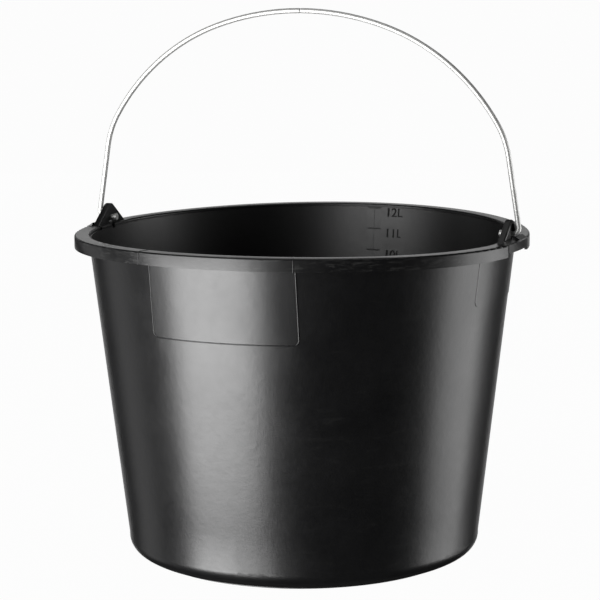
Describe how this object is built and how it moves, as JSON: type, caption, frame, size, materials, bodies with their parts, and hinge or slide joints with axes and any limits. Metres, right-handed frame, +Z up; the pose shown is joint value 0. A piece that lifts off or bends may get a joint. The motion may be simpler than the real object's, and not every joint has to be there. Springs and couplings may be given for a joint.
{
  "type": "bucket",
  "caption": "Tapered round plastic bucket with a turned-down rim, foot ring, litre scale inside, and a hinged wire bail for carrying water, flowers or mortar.",
  "frame": {"origin": "on the resting surface, under the middle of the bucket", "axes": "+Z up out of the mouth, +X towards the right ear along the hinge axis, -Y towards the label panel"},
  "size_m": [0.3156, 0.314, 0.3774],
  "materials": {
    "bucket_plastic": "satin black injection-moulded polyethylene, lightly scuffed",
    "bail_wire": "zinc-plated steel wire"
  },
  "bodies": {
    "bucket": {"bucket_body": "bucket_plastic"},
    "bail": {"wire_bail": "bail_wire"}
  },
  "joints": [
    {"name": "bail_hinge", "type": "hinge", "parent": "bucket", "child": "bail", "pos_m": [0, 0, 0.2287], "axis": [1, 0, 0], "range_deg": [-89.5, 89.5]}
  ]
}
